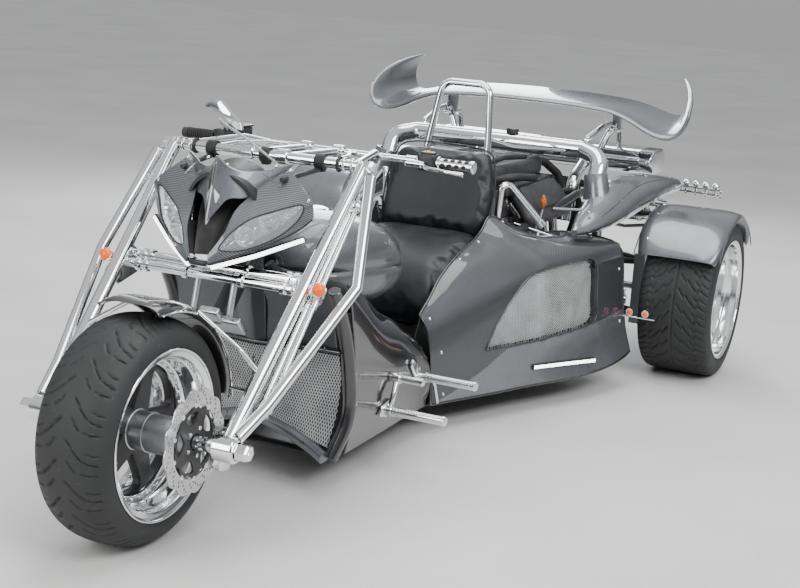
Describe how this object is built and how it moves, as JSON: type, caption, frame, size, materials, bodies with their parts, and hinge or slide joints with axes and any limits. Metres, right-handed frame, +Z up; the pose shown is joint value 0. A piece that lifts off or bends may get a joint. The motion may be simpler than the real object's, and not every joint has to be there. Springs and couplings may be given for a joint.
{
  "type": "motorized trike",
  "caption": "Custom motorized trike with a long raked girder fork, split nose mask, bucket seat, mid-mounted engine, wide rear wheels and a rear wing.",
  "frame": {"origin": "centre of the trike's bounding box at ground level", "axes": "+X forwards, +Y to the rider's left, +Z up"},
  "size_m": [3.721, 2.024, 1.1986],
  "materials": {
    "chrome": "polished",
    "polished_rim": "polished",
    "satin_alloy": "satin",
    "grey_gloss": "metallic gloss lacquer",
    "carbon_gloss": "clear-coated carbon twill",
    "black_gloss": "gloss",
    "black_satin": "satin",
    "frame_black": "powder coat",
    "tyre_rubber": "matte",
    "leather_black": "grained",
    "mesh_steel": "bright expanded mesh",
    "engine_plastic": "textured",
    "cast_alloy": "as cast",
    "lens_clear": "clear",
    "lens_amber": "translucent",
    "lens_red": "translucent",
    "disc_steel": "ground",
    "hose_grey": "smooth"
  },
  "bodies": {
    "chassis": {"main_frame": "frame_black", "steering_head": "frame_black", "belly_pan": "black_satin", "front_shroud": "black_gloss", "front_grilles": "mesh_steel", "radiator": "frame_black", "side_panels": "black_gloss", "fuel_tank": "carbon_gloss", "seat_cushion": "leather_black", "seat_back": "leather_black", "seat_base": "black_satin", "body_shells": "carbon_gloss", "side_grilles": "mesh_steel", "side_pods": "grey_gloss", "engine_block": "cast_alloy", "engine_covers": "engine_plastic", "gearbox": "cast_alloy", "intake_loop": "chrome", "seat_hoop": "chrome", "muffler": "chrome", "wing_struts": "chrome", "rear_wing": "grey_gloss", "rear_fenders": "grey_gloss", "rear_axle": "satin_alloy", "suspension_arms": "frame_black", "rear_shocks": "chrome", "foot_pegs": "chrome", "side_lights": "lens_amber", "tail_lights": "lens_red", "plate_holder": "black_satin", "tail_rails": "chrome"},
    "fork": {"steering_stem": "chrome", "fork_tubes": "chrome", "fork_rods": "chrome", "handlebars": "chrome", "hand_grips": "chrome", "bar_controls": "black_satin", "nose_mask": "carbon_gloss", "headlights": "lens_clear", "lamp_bucket": "black_satin", "turn_signals": "lens_amber", "front_axle": "chrome", "front_fender": "black_gloss", "brake_calipers": "chrome", "brake_hose": "hose_grey"},
    "front_wheel_set": {"front_tyre": "tyre_rubber", "front_wheel": "polished_rim", "brake_discs": "disc_steel"},
    "rear_left_wheel_set": {"rear_left_tyre": "tyre_rubber", "rear_left_wheel": "polished_rim"},
    "rear_right_wheel_set": {"rear_right_tyre": "tyre_rubber", "rear_right_wheel": "polished_rim"}
  },
  "joints": [
    {"name": "steering", "type": "hinge", "parent": "chassis", "child": "fork", "pos_m": [1.01049, 0, 0.64855], "axis": [-0.6934, 0, 0.7206], "range_deg": [-30, 30]},
    {"name": "front_wheel_spin", "type": "hinge", "parent": "fork", "child": "front_wheel_set", "pos_m": [1.5375, 0, 0.323], "axis": [0, 1, 0], "continuous": true},
    {"name": "rear_left_wheel_spin", "type": "hinge", "parent": "chassis", "child": "rear_left_wheel_set", "pos_m": [-1.3005, 0.8475, 0.328], "axis": [0, 1, 0], "continuous": true},
    {"name": "rear_right_wheel_spin", "type": "hinge", "parent": "chassis", "child": "rear_right_wheel_set", "pos_m": [-1.3005, -0.8475, 0.328], "axis": [0, 1, 0], "continuous": true}
  ]
}
